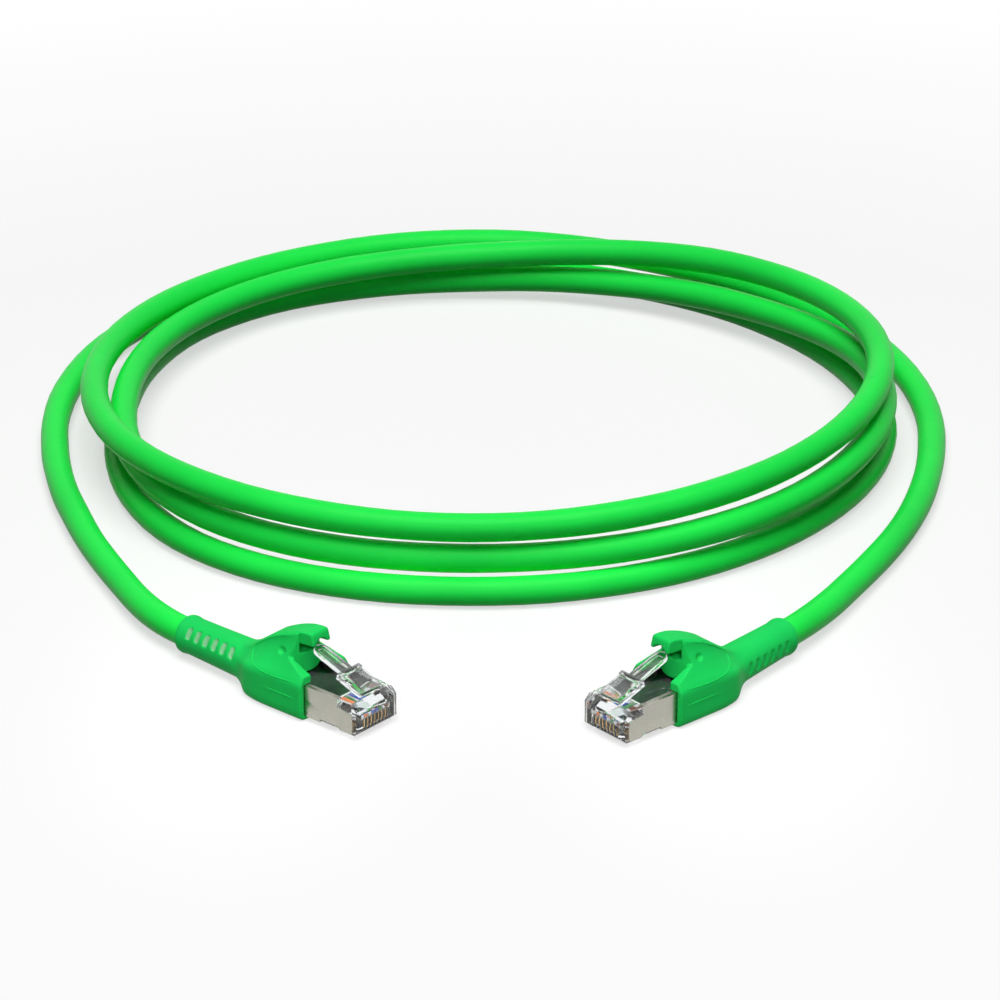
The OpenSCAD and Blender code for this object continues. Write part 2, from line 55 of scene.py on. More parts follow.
# ---------------------------------------------------------------- sizes shared by the pieces
# All in millimetres. A plug has its own frame: +X out of the boot, X = 0 at the boot's front plane.

CORD_D = 6.0
AXIS_Z = 4.3
BOOT_L = 17.0
NECK_L = 21.0
PLUG_W = 11.68
PLUG_TOP = 7.6
PIN_PITCH = 1.02
WIRE_D = 0.82
WIRE_Z = 4.41

# Where each plug lies: seat, yaw, how far the neck is bent aside, and how far it is rolled
PLUGS = {
    "a": {"seat": (-31.65, -5.25), "yaw": -41.0, "bend": -2.0, "roll": 35.0},
    "b": {"seat": (33.25, -8.35), "yaw": 221.3, "bend": 9.0, "roll": 0.0},
}

COIL_CENTRE = (1.7, 125.5)
COIL_REACH = (
    96, 97, 87.1, 83.5, 84.5, 82.4, 83.5, 87.6,
    81.9, 86.1, 78.3, 78.8, 84, 83.5, 79.2, 85.3,
    80.4, 81.4, 76.7, 81.4, 83.5, 80.9, 79.3, 86.1,
    87.1, 88.2, 87.6, 93.9, 94.9,
)
COIL_LIFT = (
    3, 3, 3, 3, 3, 3, 3, 3,
    3, 3, 4.6, 7.5, 11.8, 10.8, 8.4, 9.5,
    10, 8.9, 11.2, 15.6, 18.9, 17.6, 15.4, 16.6,
    13.5, 10.6, 9.8, 4.8, 3,
)
TAIL_A = (
    (-93.5, 113.5, 3), (-92.3, 103.5, 3), (-89.8, 90.5, 3), (-86.8, 79.5, 3), (-82.8, 66.5, 3),
    (-78.3, 54.5, 3.1), (-73.3, 42.5, 3.3), (-68.3, 32.5, 3.8),
)
TAIL_B = (
    (96, 113.5, 3), (94.7, 102.5, 3), (92.2, 89.5, 3), (88.7, 77, 3), (84.2, 65, 3),
    (78.7, 53, 3.1), (72.7, 41, 3.3), (67.7, 32, 3.8),
)

# ---------------------------------------------------------------- settings


class PatchCableSettings(bpy.types.PropertyGroup):
    """Sizes and colours of the cable and its boots."""

    jacket_colour: FloatVectorProperty(
        name="Jacket", description="Colour of the cable's jacket", subtype="COLOR", size=3,
        min=0, max=1, default=(0.014, 0.86, 0.080))
    boot_colour: FloatVectorProperty(
        name="Boot", description="Colour of the boots and their press tabs", subtype="COLOR", size=3,
        min=0, max=1, default=(0.010, 0.62, 0.105))
    unevenness: FloatProperty(
        name="Unevenness", description="How much the twisted pairs inside show on the jacket",
        min=0, max=0.03, default=0.012, subtype="FACTOR")
    turn_steps: IntProperty(
        name="Steps per turn", description="Points of the cable's curve in one turn of the coil",
        min=24, max=192, default=96)
    groove_count: IntProperty(
        name="Grooves", description="Grooves on each flank of a boot's neck", min=3, max=8, default=6)
    groove_width: FloatProperty(
        name="Groove width", description="Width of one groove", unit="LENGTH", subtype="DISTANCE",
        min=0.0005, max=0.0018, default=0.0013)
    boot_grain: FloatProperty(
        name="Boot grain", description="Strength of the fine grain moulded into the boots",
        min=0, max=1, default=0.25, subtype="FACTOR")


class PlugSettings(bpy.types.PropertyGroup):
    """Colours and edges of the plugs' hard pieces."""

    nickel_colour: FloatVectorProperty(
        name="Shield", description="Colour of the plated shield", subtype="COLOR", size=3,
        min=0, max=1, default=(0.44, 0.43, 0.375))
    clear_colour: FloatVectorProperty(
        name="Clear plastic", description="Tint of the clear body and latch", subtype="COLOR", size=3,
        min=0, max=1, default=(0.93, 0.955, 0.97))
    gold_colour: FloatVectorProperty(
        name="Contacts", description="Colour of the plated contacts", subtype="COLOR", size=3,
        min=0, max=1, default=(0.80, 0.56, 0.27))
    edge: FloatProperty(
        name="Edge radius", description="Radius along the edges of the moulded body",
        unit="LENGTH", subtype="DISTANCE", min=0.00003, max=0.0004, default=0.00014)


class StageSettings(bpy.types.PropertyGroup):
    """Camera and light of the stage."""

    lens: FloatProperty(
        name="Lens", description="Focal length of the camera, in millimetres", subtype="DISTANCE_CAMERA",
        min=50, max=400, default=194.46)
    key_power: FloatProperty(
        name="Key light", description="Power of the large light above the cable", unit="POWER",
        min=0, max=400, default=26.5)
    fill: FloatProperty(
        name="Fill", description="Strength of the light from all round", min=0, max=1, default=0.03,
        subtype="FACTOR")
    plug_power: FloatProperty(
        name="Plug lights", description="Power of each of the two narrow lamps on the plugs", unit="POWER",
        min=0, max=60, default=12)


# ---------------------------------------------------------------- shader tools


class Sock:
    """A shader output that can be used in plain expressions."""

    def __init__(self, paint, out):
        self.paint = paint
        self.out = out

    def _maths(self, operation, *values):
        return self.paint.node(
            "ShaderNodeMath", {"operation": operation}, dict(enumerate(values)))

    def __add__(self, other):
        return self._maths("ADD", self, other)

    __radd__ = __add__

    def __sub__(self, other):
        return self._maths("SUBTRACT", self, other)

    def __rsub__(self, other):
        return self._maths("SUBTRACT", other, self)

    def __mul__(self, other):
        return self._maths("MULTIPLY", self, other)

    __rmul__ = __mul__

    def above(self, edge):
        return self._maths("GREATER_THAN", self, edge)

    def largest(self, other):
        return self._maths("MAXIMUM", self, other)

    def wave(self):
        return self._maths("SINE", self) * 0.5 + 0.5


class Paint:
    """The shader of one material or world, laid node by node."""

    def __init__(self, owner):
        self.owner = owner
        owner.use_nodes = True
        self.tree = owner.node_tree
        self.tree.nodes.clear()

    def node(self, kind, settings=None, sockets=None, out=0):
        made = self.tree.nodes.new(kind)
        for key, value in (settings or {}).items():
            if key == "stops":
                ramp = made.color_ramp
                while len(ramp.elements) < len(value):
                    ramp.elements.new(0.5)
                for element, (place, colour) in zip(ramp.elements, value):
                    element.position = place
                    element.color = colour if len(colour) == 4 else (*colour, 1)
            else:
                setattr(made, key, value)
        for key, value in (sockets or {}).items():
            if isinstance(value, Sock):
                self.tree.links.new(value.out, made.inputs[key])
            elif hasattr(value, "__len__") and made.inputs[key].type == "RGBA" and len(value) == 3:
                made.inputs[key].default_value = (*value, 1)
            else:
                made.inputs[key].default_value = value
        return Sock(self, made.outputs[out]) if made.outputs else None

    def place(self, scale=(1.0, 1.0, 1.0)):
        """Object coordinates in millimetres, scaled along each axis."""
        coords = self.node("ShaderNodeTexCoord", out="Object")
        return self.node(
            "ShaderNodeMapping", {"vector_type": "POINT"},
            {"Vector": coords, "Scale": tuple(1000 * s for s in scale)})

    def axes(self):
        """X, Y and Z of the object coordinates, each by itself."""
        split = self.node("ShaderNodeSeparateXYZ", None, {"Vector": self.place()})
        return [Sock(self, out) for out in split.out.node.outputs]

    def seen(self):
        """1 for what the camera, a reflection or a clear piece sees, 0 for what lights the scene."""
        camera = self.node("ShaderNodeLightPath", out="Is Camera Ray")
        rays = camera.out.node.outputs
        mirrored = camera.largest(Sock(self, rays["Is Glossy Ray"]))
        return mirrored.largest(Sock(self, rays["Is Transmission Ray"]))

    def noise(self, scale=1.0, detail=2.0, rough=0.5, where=None):
        return self.node(
            "ShaderNodeTexNoise", None,
            {"Vector": where or self.place(), "Scale": scale, "Detail": detail, "Roughness": rough})

    def ramp(self, value, *stops):
        return self.node("ShaderNodeValToRGB", {"stops": stops}, {"Fac": value})

    def fade(self, value, low, high):
        """0 up to the low value, rising to 1 at the high one."""
        return self.ramp(value, (low, (0, 0, 0)), (high, (1, 1, 1)))

    def mix(self, amount, low, high):
        return self.node("ShaderNodeMix", {"data_type": "RGBA"}, {0: amount, 6: low, 7: high}, out=2)

    def bump(self, height, strength=0.3, depth=0.05, normal=None):
        sockets = {"Height": height, "Strength": strength, "Distance": depth * MM}
        if normal:
            sockets["Normal"] = normal
        return self.node("ShaderNodeBump", None, sockets)

    def finish(self, shader):
        self.node("ShaderNodeOutputMaterial", None, {"Surface": shader})
        return self.owner

    def solid(self, colour, rough, normal=None, **constants):
        sockets = {"Base Color": colour, "Roughness": rough}
        if normal:
            sockets["Normal"] = normal
        sockets.update({key.replace("_", " "): value for key, value in constants.items()})
        return self.finish(self.node("ShaderNodeBsdfPrincipled", None, sockets))


def shade(colour, amount):
    """A colour darkened or lightened by one factor."""
    return tuple(min(1.0, channel * amount) for channel in colour)


# ---------------------------------------------------------------- finishes

FINISHES = {}


def finish(name):
    """Makes a finish the first time it is asked for, and hands the same one out after that."""
    if name not in FINISHES:
        FINISHES[name] = MAKERS[name](Paint(bpy.data.materials.new(name)))
    return FINISHES[name]


def green_jacket(p):
    """Soft extruded plastic: slow mottling, faint scuffs and a satin skin."""
    tone = bpy.context.scene.patch_cable.jacket_colour
    slow = p.noise(0.03, 2.0)
    fine = p.noise(2.2, 3.0, 0.6)
    colour = p.mix(p.fade(slow, 0.35, 0.65), shade(tone, 0.93), shade(tone, 1.06))
    scuff = p.fade(p.noise(0.35, 4.0, 0.7), 0.60, 0.72)
    colour = p.mix(scuff * 0.12, colour, shade(tone, 0.8))
    rough = 0.36 + 0.10 * p.noise(0.5, 3.0) + 0.10 * scuff
    skin = p.bump(fine, 0.12, 0.03, p.bump(p.noise(0.16, 2.0), 0.25, 0.35))
    return p.solid(colour, rough, skin, Specular_IOR_Level=0.10)


def moulded_green(p):
    """Moulded rubbery plastic with a fine grain."""
    settings = bpy.context.scene.patch_cable
    tone = settings.boot_colour
    slow = p.noise(0.12, 2.0)
    colour = p.mix(p.fade(slow, 0.3, 0.7), shade(tone, 0.95), shade(tone, 1.04))
    grain = p.node("ShaderNodeTexVoronoi", {"feature": "SMOOTH_F1"},
                   {"Vector": p.place(), "Scale": 3.6, "Smoothness": 0.6})
    rough = 0.50 + 0.12 * p.noise(0.9, 3.0)
    skin = p.bump(grain, settings.boot_grain, 0.02, p.bump(p.noise(0.3, 2.0), 0.15, 0.12))
    return p.solid(colour, rough, skin, Specular_IOR_Level=0.12)


def groove_painted_highlight(p):
    """The bottoms of the neck's grooves, painted paler: a painted highlight where the grooves catch the light."""
    tone = bpy.context.scene.patch_cable.boot_colour
    # painted highlight: the boot's green is lifted towards a pale grey-green
    pale = tuple(0.55 * channel + 0.17 for channel in tone)
    colour = p.mix(p.noise(1.4, 3.0), shade(pale, 0.9), shade(pale, 1.08))
    return p.solid(colour, 0.55 + 0.15 * p.noise(2.0, 2.0), p.bump(p.noise(3.0, 2.0), 0.3, 0.03))


def plated_nickel(p):
    """Stamped plated sheet: drawn grain, faint stains and slightly duller patches."""
    tone = bpy.context.scene.patch_plug.nickel_colour
    drawn = p.noise(1.0, 4.0, 0.65, p.place((0.35, 0.35, 5.0)))
    stain = p.fade(p.noise(0.35, 4.0, 0.6), 0.42, 0.66)
    colour = p.mix(drawn * 0.5, shade(tone, 0.93), shade(tone, 1.07))
    colour = p.mix(stain * 0.25, colour, shade(tone, 0.82))
    rough = 0.20 + 0.12 * drawn + 0.08 * stain
    skin = p.bump(drawn, 0.10, 0.015, p.bump(p.noise(0.25, 2.0), 0.35, 0.10))
    return p.solid(colour, rough, skin, Metallic=1.0)


def clear_body(p):
    """Injected clear plastic with slow flow waves on its faces."""
    tone = bpy.context.scene.patch_plug.clear_colour
    flow = p.noise(0.5, 2.0)
    colour = p.mix(flow, shade(tone, 0.98), shade(tone, 1.02))
    rough = 0.015 + 0.05 * p.noise(1.2, 2.0)
    skin = p.bump(flow, 0.25, 0.12)
    return p.solid(colour, rough, skin, Transmission_Weight=1.0, IOR=1.5, Specular_IOR_Level=0.4)


def plated_gold(p):
    """Thin gold over nickel, duller where the blade was cut."""
    tone = bpy.context.scene.patch_plug.gold_colour
    worn = p.fade(p.noise(1.5, 3.0), 0.5, 0.7)
    colour = p.mix(worn * 0.3, tone, (0.75, 0.62, 0.42))
    return p.solid(colour, 0.18 + 0.15 * p.noise(3.0, 2.0), p.bump(p.noise(4.0, 2.0), 0.1, 0.01),
                   Metallic=1.0)


def black_guide(p):
    """Near-black with a faint random tone; it gives the black area on the housing's top under the latch."""
    colour = p.mix(p.noise(1.0, 2.0), (0.001, 0.0012, 0.0012), (0.004, 0.0045, 0.0045))
    return p.solid(colour, 0.42 + 0.15 * p.noise(2.0, 3.0), p.bump(p.noise(3.0, 2.0), 0.2, 0.02),
                   Specular_IOR_Level=0.1)


def insulation(tone, partner=None):
    """A conductor's skin in one colour, or white with slanting bands of its partner's colour."""
    def make(p):
        base = p.mix(p.noise(0.8, 2.0), shade(tone, 0.94), shade(tone, 1.05))
        if partner:
            x, y, z = p.axes()
            bands = ((x + y * 0.9) * 1.6 + z * 1.2).wave().above(0.62)
            base = p.mix(bands, base, partner)
        return p.solid(base, 0.32 + 0.12 * p.noise(2.0, 2.0), p.bump(p.noise(2.5, 2.0), 0.1, 0.02))
    return make


def crumpled_foil(p):
    """Thin aluminium foil laid round a pair."""
    fold = p.node("ShaderNodeTexVoronoi", {"feature": "DISTANCE_TO_EDGE"},
                  {"Vector": p.place(), "Scale": 0.9})
    colour = p.mix(p.noise(1.5, 3.0), (0.72, 0.73, 0.75), (0.88, 0.89, 0.9))
    return p.solid(colour, 0.22 + 0.15 * p.noise(1.0, 3.0), p.bump(fold, 0.5, 0.08), Metallic=1.0)


def tinned_braid(p):
    """Fine tinned wires crossing in two directions, with painted shade darkening the gaps between them."""
    x, y, z = p.axes()
    across, up = x - y, z * 1.5
    weave = ((across + up) * 14.0).wave().largest(((across - up) * 14.0).wave())
    # painted shade: the colour is darker where the weave is low, in the gaps between the wires
    colour = p.mix(weave, (0.30, 0.29, 0.28), (0.78, 0.77, 0.75))
    return p.solid(colour, 0.35 + 0.1 * p.noise(2.0, 2.0), p.bump(weave, 0.6, 0.06), Metallic=1.0)


MAKERS = {
    "green_jacket": green_jacket,
    "moulded_green": moulded_green,
    "groove_painted_highlight": groove_painted_highlight,
    "plated_nickel": plated_nickel,
    "clear_body": clear_body,
    "plated_gold": plated_gold,
    "black_guide": black_guide,
    "crumpled_foil": crumpled_foil,
    "tinned_braid": tinned_braid,
    "orange_skin": insulation((0.90, 0.22, 0.02)),
    "white_orange_skin": insulation((0.86, 0.85, 0.82), (0.90, 0.22, 0.02)),
    "green_skin": insulation((0.03, 0.32, 0.06)),
    "white_green_skin": insulation((0.86, 0.86, 0.83), (0.03, 0.32, 0.06)),
    "blue_skin": insulation((0.03, 0.09, 0.55)),
    "white_blue_skin": insulation((0.85, 0.86, 0.86), (0.03, 0.09, 0.55)),
    "brown_skin": insulation((0.20, 0.055, 0.02)),
    "white_brown_skin": insulation((0.85, 0.84, 0.81), (0.20, 0.055, 0.02)),
}

# ---------------------------------------------------------------- modelling tools


def clear_selection():
    bpy.ops.object.select_all(action="DESELECT")


def only(obj):
    """Selects one object and makes it active."""
    clear_selection()
    obj.select_set(True)
    bpy.context.view_layer.objects.active = obj
    return obj


def apply_modifier(obj, kind, **settings):
    only(obj)
    made = obj.modifiers.new(kind.title(), kind)
    for key, value in settings.items():
        setattr(made, key, value)
    bpy.ops.object.modifier_apply(modifier=made.name)
    return obj


def new_piece(name):
    """The primitive just added, under its own name and with its place in its mesh."""
    obj = bpy.context.view_layer.objects.active
    obj.name = name
    obj.data.name = name
    only(obj)
    bpy.ops.object.transform_apply(location=True, rotation=True, scale=True)
    return obj


def face_outwards(obj, merge=0.002):
    """Merges doubles and turns all the faces outwards."""
    only(obj)
    bpy.ops.object.mode_set(mode="EDIT")
    bpy.ops.mesh.select_all(action="SELECT")
    bpy.ops.mesh.remove_doubles(threshold=merge * MM)
    bpy.ops.mesh.normals_make_consistent(inside=False)
    bpy.ops.object.mode_set(mode="OBJECT")
    return obj


def smooth(obj, angle):
    only(obj)
    bpy.ops.object.shade_smooth_by_angle(angle=math.radians(angle))
    return obj


def paint(obj, *names):
    obj.data.materials.clear()
    for name in names:
        obj.data.materials.append(finish(name))
    return obj


def twin(obj, name):
    """A copy with its own mesh."""
    copy = obj.copy()
    copy.data = obj.data.copy()
    copy.name = name
    copy.data.name = name
    bpy.context.scene.collection.objects.link(copy)
    return copy


def join(name, *parts):
    clear_selection()
    for part in parts:
        part.select_set(True)
    bpy.context.view_layer.objects.active = parts[0]
    bpy.ops.object.join()
    parts[0].name = name
    parts[0].data.name = name
    return parts[0]


def box(name, low, high):
    """A block between two corners, in millimetres."""
    clear_selection()
    bpy.ops.mesh.primitive_cube_add(
        size=1, location=[(a + b) / 2 * MM for a, b in zip(low, high)],
        scale=[(b - a) * MM for a, b in zip(low, high)])
    return new_piece(name)


def rod(name, diameter, x0, x1, z=AXIS_Z, sides=32):
    """A round bar along the plug."""
    clear_selection()
    bpy.ops.mesh.primitive_cylinder_add(
        vertices=sides, radius=diameter / 2 * MM, depth=(x1 - x0) * MM,
        location=((x0 + x1) / 2 * MM, 0, z * MM), rotation=(0, math.pi / 2, 0))
    return new_piece(name)


def ball(name, centre, half_sizes):
    """A rounded lump between the given half sizes."""
    clear_selection()
    bpy.ops.mesh.primitive_uv_sphere_add(
        segments=24, ring_count=12, radius=MM, location=[c * MM for c in centre], scale=half_sizes)
    return new_piece(name)


def grow_rings(name, rings):
    """A closed skin: a circle laid on the first ring, extruded from ring to ring, and capped."""
    count = len(rings[0])
    clear_selection()
    bpy.ops.mesh.primitive_circle_add(vertices=count, radius=MM, fill_type="NOTHING")
    obj = new_piece(name)
    for vertex, point in zip(obj.data.vertices, rings[0]):
        vertex.co = Vector(point) * MM
    bpy.ops.object.mode_set(mode="EDIT")
    bpy.ops.mesh.select_all(action="SELECT")
    mesh = bmesh.from_edit_mesh(obj.data)
    mesh.verts.ensure_lookup_table()
    front = [mesh.verts[i] for i in range(count)]
    for ring in rings[1:]:
        bpy.ops.mesh.extrude_region_move()
        mesh = bmesh.from_edit_mesh(obj.data)
        marked = {v for v in mesh.verts if v.select}
        mesh.verts.ensure_lookup_table()
        front = [next(e.other_vert(v) for e in v.link_edges if e.other_vert(v) in marked)
                 for v in (mesh.verts[i] for i in [f.index for f in front])]
        for vertex, point in zip(front, ring):
            vertex.co = Vector(point) * MM
        mesh.verts.index_update()
    bmesh.update_edit_mesh(obj.data)
    bpy.ops.mesh.edge_face_add()
    bpy.ops.mesh.select_all(action="DESELECT")
    mesh = bmesh.from_edit_mesh(obj.data)
    mesh.verts.ensure_lookup_table()
    for i in range(count):
        mesh.verts[i].select = True
    mesh.select_flush_mode()
    for edge in mesh.edges:
        edge.select = edge.verts[0].index < count and edge.verts[1].index < count
    bpy.ops.mesh.edge_face_add()
    bpy.ops.object.mode_set(mode="OBJECT")
    return face_outwards(obj)


def plate(name, outline, width):
    """An outline in X and Z laid as a ring and extruded across by a width."""
    near = [(x, -width / 2, z) for x, z in outline]
    far = [(x, width / 2, z) for x, z in outline]
    return grow_rings(name, [near, far])


def cut_away(obj, *cutters):
    """Cuts pieces out of a piece and removes them."""
    for cutter in cutters:
        apply_modifier(obj, "BOOLEAN", operation="DIFFERENCE", object=cutter, solver="EXACT")
        bpy.data.objects.remove(cutter)
    return obj


def curve_through(keys, at):
    """Smooth value at a place, through (place, value) keys."""
    if at <= keys[0][0]:
        return keys[0][1]
    if at >= keys[-1][0]:
        return keys[-1][1]
    i = max(k for k in range(len(keys) - 1) if keys[k][0] <= at)
    (x1, y1), (x2, y2) = keys[i], keys[i + 1]
    x0, y0 = keys[i - 1] if i else (2 * x1 - x2, y1)
    x3, y3 = keys[i + 2] if i + 2 < len(keys) else (2 * x2 - x1, y2)
    t = (at - x1) / (x2 - x1)
    m1 = (y2 - y0) / (x2 - x0) * (x2 - x1)
    m2 = (y3 - y1) / (x3 - x1) * (x2 - x1)
    return ((2 * t ** 3 - 3 * t ** 2 + 1) * y1 + (t ** 3 - 2 * t ** 2 + t) * m1
            + (3 * t ** 2 - 2 * t ** 3) * y2 + (t ** 3 - t ** 2) * m2)


def ease(value):
    value = min(1.0, max(0.0, value))
    return value * value * (3 - 2 * value)


def plug_matrix(side):
    place = PLUGS[side]
    return (Matrix.Translation((place["seat"][0] * MM, place["seat"][1] * MM, 0))
            @ Matrix.Rotation(math.radians(place["yaw"]), 4, "Z"))


def settle(obj, side, body, slot, *nodes):
    """Lays a piece made in the plug's frame on its plug, rides its body and stands for its nodes."""
    obj.data.transform(plug_matrix(side))
    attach(obj, body)
    if nodes:
        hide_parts(*nodes)
    return obj


def refined(node, name, bevel):
    """A merged copy of a CAD node with its edges eased by a bevel, in millimetres."""
    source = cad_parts[node]
    copy = twin(source, name)
    copy.parent = None
    copy.matrix_world = Matrix.Identity(4)
    only(copy)
    copy.hide_render = False
    face_outwards(copy, 0.001)
    bpy.ops.object.mode_set(mode="EDIT")
    bpy.ops.mesh.select_all(action="SELECT")
    bpy.ops.mesh.dissolve_limited(angle_limit=math.radians(1.0))
    bpy.ops.object.mode_set(mode="OBJECT")
    apply_modifier(copy, "BEVEL", width=bevel * MM, segments=2, limit_method="ANGLE",
                   angle_limit=math.radians(30), use_clamp_overlap=True)
    return smooth(copy, 40)


# ---------------------------------------------------------------- the cable


def coil_point(u):
    """Centre of the cable in the coil, at u eighths of a turn."""
    def key(values, i):
        if i < 0:
            return 2 * values[0] - values[1]
        if i >= len(values):
            return 2 * values[-1] - values[-2]
        return values[i]

    def along(values):
        i = min(int(u), len(values) - 2)
        a, b, c, d = (key(values, i + k) for k in (-1, 0, 1, 2))
        t = u - i
        return (2 * b + (c - a) * t + (2 * a - 5 * b + 4 * c - d) * t * t
                + (3 * b - a - 3 * c + d) * t ** 3) / 2

    turn = math.radians(45 * u)
    reach = along(COIL_REACH)
    return Vector((COIL_CENTRE[0] - reach * math.cos(turn), COIL_CENTRE[1] + reach * math.sin(turn),
                   max(CORD_D / 2, along(COIL_LIFT))))


def mouth(side, out):
    """A point on the axis of a boot's neck, out from the boot's body."""
    place = PLUGS[side]
    yaw, bend = math.radians(place["yaw"]), math.radians(place["bend"])
    return Vector((
        place["seat"][0] - BOOT_L * math.cos(yaw) - out * math.cos(yaw + bend),
        place["seat"][1] - BOOT_L * math.sin(yaw) - out * math.sin(yaw + bend), AXIS_Z))


def through(points, step, behind=None, ahead=None):
    """Points a step apart on a smooth curve through the given ones, which may go on behind and ahead."""
    made = []
    for i in range(len(points) - 1):
        before = points[i - 1] if i else behind or 2 * points[0] - points[1]
        after = points[i + 2] if i + 2 < len(points) else ahead or 2 * points[-1] - points[-2]
        a, b = points[i], points[i + 1]
        count = max(1, round((b - a).length / step))
        for k in range(count):
            t = k / count
            made.append((2 * a + (b - before) * t + (2 * before - 5 * a + 4 * b - after) * t * t
                         + (3 * a - before - 3 * b + after) * t ** 3) / 2)
    return made + [points[-1]]


def leave(side, tail):
    """From the mouth of a neck on an even arc to the tail's points."""
    start, points = mouth(side, NECK_L), [Vector(p) for p in reversed(tail)][1:]
    span = (points[0] - start).length / 3
    a = start + (mouth(side, NECK_L + 1) - start) * span
    b = points[0] - (points[1] - points[0]).normalized() * span
    arc = [(1 - t) ** 3 * start + 3 * (1 - t) ** 2 * t * a + 3 * (1 - t) * t * t * b + t ** 3 * points[0]
           for t in (0, 0.2, 0.4, 0.6, 0.8)]
    return arc + points


def cable_route(steps):
    """The whole centre line, from the mouth of boot A, round the coil, to the mouth of boot B."""
    last = len(COIL_REACH) - 1
    coil = [coil_point(i * 8 / steps) for i in range(last * steps // 8 + 1)]
    tail_a, tail_b = leave("a", TAIL_A) + [coil[0]], [coil[-1]] + leave("b", TAIL_B)[::-1]
    return through(tail_a, 3, ahead=coil[2])[:-1] + coil + through(tail_b, 3, behind=coil[-3])[1:]


# ---------------------------------------------------------------- the boot's shape

HALF_WIDTH = ((0, 7.2), (8, 7.2), (11, 7.15), (13.4, 6.95), (16.4, 6.25), (18.6, 5.3), (20.2, 4.6),
              (22, 4.25))
FLOOR = ((0, 0.0), (13, 0.0), (16, 0.02), (19, 0.04), (22.5, 0.07))
SHOULDER = ((0, 8.2), (8, 8.1), (13, 7.7), (17, 6.8), (22, 5.4))
CROWN_HALF = ((0, 3.05), (8, 3.05), (13, 2.9), (17, 2.4), (22, 2.0))
CROWN = ((0, 17.0), (2.2, 16.95), (3.2, 16.88), (4.2, 16.65), (6.2, 16.1), (8.6, 15.25), (12, 13.6),
         (14.6, 11.7), (17.4, 10.0), (20, 9.0), (23, 8.5))
NECK_R = ((0, 4.25), (17, 4.25), (22, 4.17), (28, 4.0), (35, 3.85), (36.2, 3.85), (36.8, 4.0), (38, 3.98))
SLIT_HALF = 2.52
LINE_R = 0.14
HALF_STEPS = 44


def boot_half(u):
    """Half the boot's outline, from the middle of its floor to the middle of its crown, in Y and Z."""
    w, low = curve_through(HALF_WIDTH, u), curve_through(FLOOR, u)
    zs, c, top = curve_through(SHOULDER, u), curve_through(CROWN_HALF, u), curve_through(CROWN, u)
    points = [(0, low), (w - 2.4, low), (w - 1.2, low + 0.08), (w - 0.35, low + 0.6), (w, low + 1.8),
              (w + 0.02, (low + zs) / 2), (w, zs - 1.2), (w - 0.12, zs - 0.4), (w - 0.5, zs + 0.3)]
    for s in (0.15, 0.32, 0.5, 0.68, 0.84, 0.95):
        points.append((c + 0.05 + (w - 0.55 - c) * (1 - s) ** 1.6, zs + 0.3 + (top - 0.55 - zs) * s))
    points += [(c - 0.12, top - 0.12), (c - 0.55, top), (0, top + 0.02)]
    fine = through([Vector((y, z, 0)) for y, z in points], 0.25)
    lengths = [0.0]
    for a, b in zip(fine, fine[1:]):
        lengths.append(lengths[-1] + (b - a).length)
    out, k = [], 0
    for i in range(HALF_STEPS + 1):
        want = lengths[-1] * i / HALF_STEPS
        while k < len(lengths) - 2 and lengths[k + 1] < want:
            k += 1
        t = (want - lengths[k]) / max(1e-9, lengths[k + 1] - lengths[k])
        p = fine[k].lerp(fine[k + 1], t)
        out.append((p.x, p.y))
    round_share = ease((u - 15.5) / 7)
    r = curve_through(NECK_R, u)
    blended = []
    for i, (y, z) in enumerate(out):
        a = math.pi * (i / HALF_STEPS - 0.5)
        blended.append((y + (r * math.cos(a) - y) * round_share,
                        z + (AXIS_Z + r * math.sin(a) - z) * round_share))
    return blended


def boot_ring(u):
    half = boot_half(u)
    return [(-u, y, z) for y, z in half] + [(-u, -y, z) for y, z in half[-2:0:-1]]


def flank_y(u, z):
    """Half width of the boot's outside at a height above its shoulder."""
    half = boot_half(u)
    for (y0, z0), (y1, z1) in zip(half[::-1], half[-2::-1]):
        if z1 <= z <= z0 and z0 > z1:
            return y1 + (y0 - y1) * (z - z1) / (z0 - z1)
    return half[HALF_STEPS // 2][0]


def ridge(name, points, side):
    """A thin raised line that follows the boot's flank through points in X and Z."""
    flat = through([Vector((x, z, 0)) for x, z in points], 0.5)
    path = [Vector((p.x, side * (flank_y(-p.x, p.y) - 0.02), p.y)) * MM for p in flat]
    data = bpy.data.curves.new(name, "CURVE")
    data.dimensions = "3D"
    line = data.splines.new("POLY")
    line.points.add(len(path) - 1)
    for point, place in zip(line.points, path):
        point.co = (*place, 1)
    for i in range(4):
        line.points[i].radius = line.points[-1 - i].radius = 0.3 + 0.17 * i
    data.bevel_depth = LINE_R * MM
    data.bevel_resolution = 2
    data.use_fill_caps = True
    obj = bpy.data.objects.new(name, data)
    bpy.context.scene.collection.objects.link(obj)
    only(obj)
    bpy.ops.object.convert(target="MESH")
    return bpy.context.view_layer.objects.active


NOTCH = ((1.5, 9.4), (-0.2, 9.4), (-1.6, 9.9), (-3.0, 10.6), (-4.4, 11.2), (-5.6, 11.8), (-6.6, 12.2),
         (-6.6, 18.5), (1.5, 18.5))
PANEL_LINE = ((-5.0, 15.85), (-6.5, 15.45), (-9, 14.6), (-11.6, 13.3), (-13.6, 12.0), (-15.4, 10.6),
              (-16.0, 9.4), (-15.0, 8.5), (-12.6, 8.0), (-8.9, 7.75), (-5.5, 7.85), (-1.5, 8.1))
SIDE_LINE = ((-10.5, 4.7), (-7.5, 4.8), (-4.5, 4.8), (-1.6, 4.75))
NOSE_R = 6.2
WEB_TOP = 12.1


def groove_places():
    """Distance of each groove from the boot's front, along its straight neck."""
    count = bpy.context.scene.patch_cable.groove_count
    return [BOOT_L + (k + 0.9) * NECK_L / 8.5 + 0.45 for k in range(1, count + 1)]


